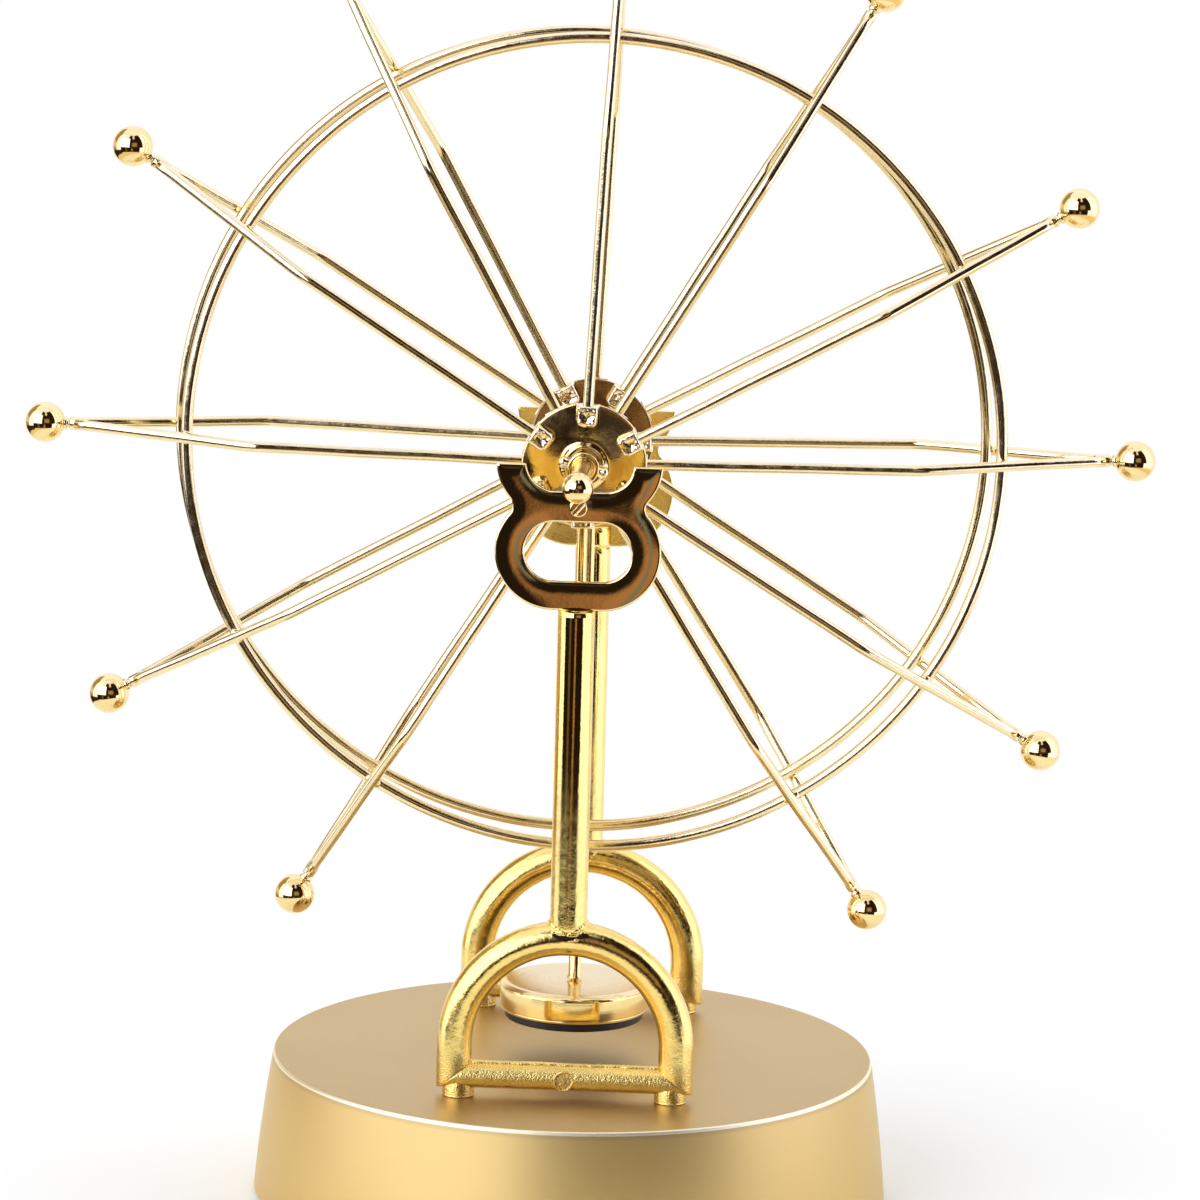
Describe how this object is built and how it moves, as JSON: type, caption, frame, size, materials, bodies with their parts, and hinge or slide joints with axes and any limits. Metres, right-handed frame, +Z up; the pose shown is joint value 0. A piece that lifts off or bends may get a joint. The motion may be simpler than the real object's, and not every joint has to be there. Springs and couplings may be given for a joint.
{
  "type": "ferris wheel desk toy",
  "caption": "Gold wire ferris wheel with ball-tipped spokes and a hanging weight, turning freely between two posts with eight-shaped axle plates on a round drum base.",
  "frame": {"origin": "centre of the underside of the base, on the plane that the rubber feet stand on", "axes": "+Z up, the axle runs along Y, the front in the picture faces -Y, +X to the right in the picture"},
  "size_m": [0.2136, 0.1216, 0.2515],
  "materials": {
    "polished_gold": "polished gold plate",
    "plate_gold": "mirror polished gold plate",
    "base_satin": "satin champagne gold",
    "weight_gold": "brushed pale gold",
    "magnet_black": "black coated magnet",
    "black_plastic": "fine matt",
    "bobbin_plastic": "plain",
    "bearing_plastic": "smooth dark brown",
    "foot_rubber": "matt",
    "plain_steel": "plain bright",
    "contact_nickel": "nickel plated",
    "copper_wire": "enamelled copper",
    "cell_jacket": "plain jacket",
    "board_laminate": "laminate"
  },
  "bodies": {
    "stand": {"base_shell": "base_satin", "base_plate": "black_plastic", "battery_door": "black_plastic", "battery_door_screw": "plain_steel", "base_screws": "plain_steel", "frame_screws": "plain_steel", "rubber_foot_1": "foot_rubber", "rubber_foot_2": "foot_rubber", "rubber_foot_3": "foot_rubber", "rubber_foot_4": "foot_rubber", "battery_cell_front": "cell_jacket", "battery_cell_rear": "cell_jacket", "battery_contact_left": "contact_nickel", "battery_contact_right": "contact_nickel", "coil_bobbin": "bobbin_plastic", "coil_winding": "copper_wire", "coil_core": "plain_steel", "circuit_board": "board_laminate", "drive_transistor": "black_plastic", "front_frame": "polished_gold", "front_post": "polished_gold", "front_plate": "plate_gold", "front_plate_screw": "polished_gold", "front_bearing_pad": "bearing_plastic", "rear_frame": "polished_gold", "rear_post": "polished_gold", "rear_plate": "plate_gold", "rear_plate_screw": "polished_gold", "rear_bearing_pad": "bearing_plastic"},
    "wheel": {"axle": "polished_gold", "front_knob": "polished_gold", "front_hub_disc": "plate_gold", "front_hub_collar": "polished_gold", "front_cross_pin": "plain_steel", "front_hub_clips": "polished_gold", "front_ring": "polished_gold", "rear_knob": "polished_gold", "rear_hub_disc": "plate_gold", "rear_hub_collar": "polished_gold", "rear_cross_pin": "plain_steel", "rear_hub_clips": "polished_gold", "rear_ring": "polished_gold", "spoke_000": "polished_gold", "spoke_030": "polished_gold", "spoke_060": "polished_gold", "spoke_090": "polished_gold", "spoke_120": "polished_gold", "spoke_150": "polished_gold", "spoke_180": "polished_gold", "spoke_210": "polished_gold", "spoke_240": "polished_gold", "spoke_300": "polished_gold", "spoke_330": "polished_gold", "weight_hanger": "polished_gold", "end_balls": "polished_gold", "weight_disc": "weight_gold", "weight_magnet": "magnet_black"}
  },
  "joints": [
    {"name": "wheel_spin", "type": "hinge", "parent": "stand", "child": "wheel", "pos_m": [0, 0, 0.1448], "axis": [0, 1, 0], "continuous": true}
  ]
}
